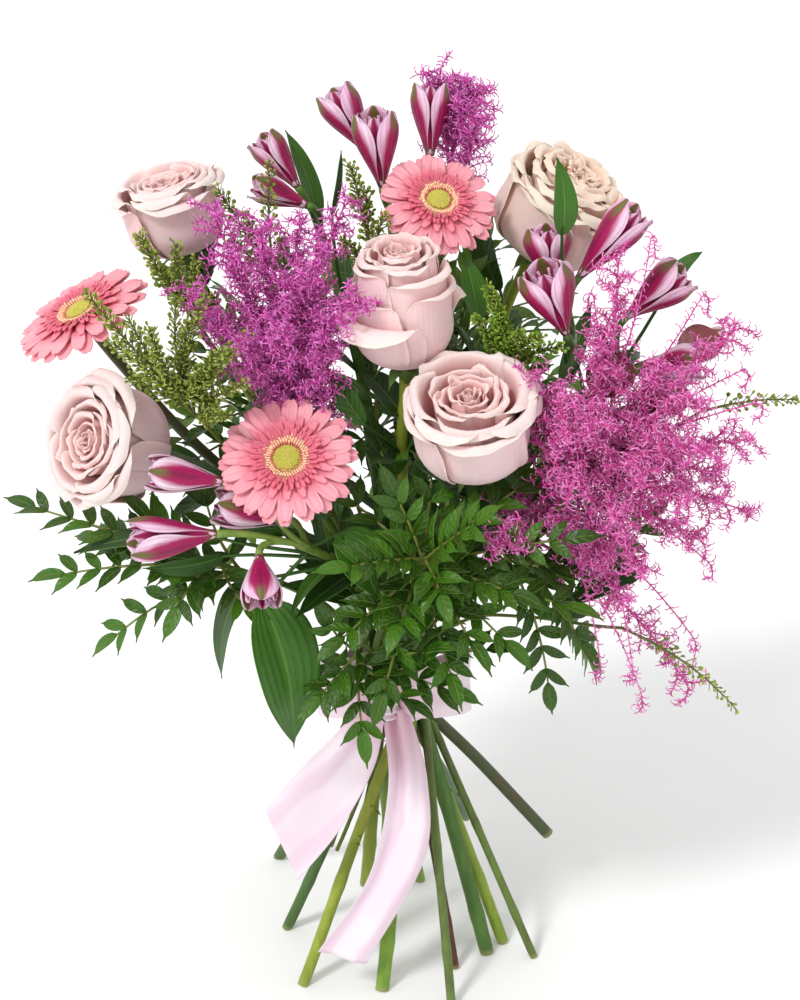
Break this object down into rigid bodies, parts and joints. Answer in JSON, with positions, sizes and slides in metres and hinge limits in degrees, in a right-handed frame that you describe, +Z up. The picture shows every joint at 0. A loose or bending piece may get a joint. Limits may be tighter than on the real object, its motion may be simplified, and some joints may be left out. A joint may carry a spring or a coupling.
{
  "type": "mixed flower bouquet",
  "caption": "Hand-tied mixed bouquet with roses, gerberas, alstroemerias, dyed plumes and foliage, standing on its spread cut stems under a satin ribbon.",
  "frame": {"origin": "middle of the space that the bouquet takes up, on the surface that its cut stems stand on", "axes": "+Z up along the bunch; -Y towards the side the picture shows; +X to the right of that side"},
  "size_m": [0.4426, 0.2848, 0.5084],
  "materials": {
    "rose_petal": "soft matt petals, blush pink with creamy rims",
    "gerbera_petal": "satin petals, salmon pink",
    "gerbera_disc": "granular, yellow-green",
    "alstroemeria_petal": "satin petals, maroon ribs and lilac margins",
    "plume": "fine dry beads, dyed magenta",
    "smoke_bush_leaf": "satin, brown-red",
    "pennycress": "matt, yellow-green",
    "leaf": "glossy, dark green",
    "stem": "fresh green, satin",
    "satin": "satin weave, pale pink",
    "twine": "twisted jute, matt"
  },
  "bodies": {
    "root": {"alstroemeria_left_a": "alstroemeria_petal", "alstroemeria_left_b": "alstroemeria_petal", "alstroemeria_left_c": "alstroemeria_petal", "alstroemeria_left_d": "alstroemeria_petal", "alstroemeria_left_stem": "stem", "alstroemeria_right_a": "alstroemeria_petal", "alstroemeria_right_b": "alstroemeria_petal", "alstroemeria_right_c": "alstroemeria_petal", "alstroemeria_right_stem": "stem", "alstroemeria_top_a": "alstroemeria_petal", "alstroemeria_top_b": "alstroemeria_petal", "alstroemeria_top_c": "alstroemeria_petal", "alstroemeria_top_stem": "stem", "alstroemeria_upper_left_a": "alstroemeria_petal", "alstroemeria_upper_left_b": "alstroemeria_petal", "alstroemeria_upper_left_stem": "stem", "alstroemeria_upper_right_a": "alstroemeria_petal", "alstroemeria_upper_right_b": "alstroemeria_petal", "alstroemeria_upper_right_c": "alstroemeria_petal", "alstroemeria_upper_right_stem": "stem", "binding_twine": "twine", "gerbera_front_disc": "gerbera_disc", "gerbera_front_rays": "gerbera_petal", "gerbera_front_stem": "stem", "gerbera_left_disc": "gerbera_disc", "gerbera_left_rays": "gerbera_petal", "gerbera_left_stem": "stem", "gerbera_top_disc": "gerbera_disc", "gerbera_top_rays": "gerbera_petal", "gerbera_top_stem": "stem", "mastic_back": "leaf", "mastic_back_left": "leaf", "mastic_front": "leaf", "mastic_left": "leaf", "mastic_low": "leaf", "mastic_right": "leaf", "pennycress_far_left": "pennycress", "pennycress_far_right": "pennycress", "pennycress_left": "pennycress", "pennycress_low_right": "pennycress", "pennycress_right": "pennycress", "pennycress_top": "pennycress", "pennycress_upper_left": "pennycress", "plume_left": "plume", "plume_right": "plume", "plume_top": "plume", "rose_front_bloom": "rose_petal", "rose_front_stem": "stem", "rose_left_bloom": "rose_petal", "rose_left_stem": "stem", "rose_middle_bloom": "rose_petal", "rose_middle_stem": "stem", "rose_upper_left_bloom": "rose_petal", "rose_upper_left_stem": "stem", "rose_upper_right_bloom": "rose_petal", "rose_upper_right_stem": "stem", "satin_ribbon": "satin", "smoke_bush": "smoke_bush_leaf"}
  },
  "joints": []
}
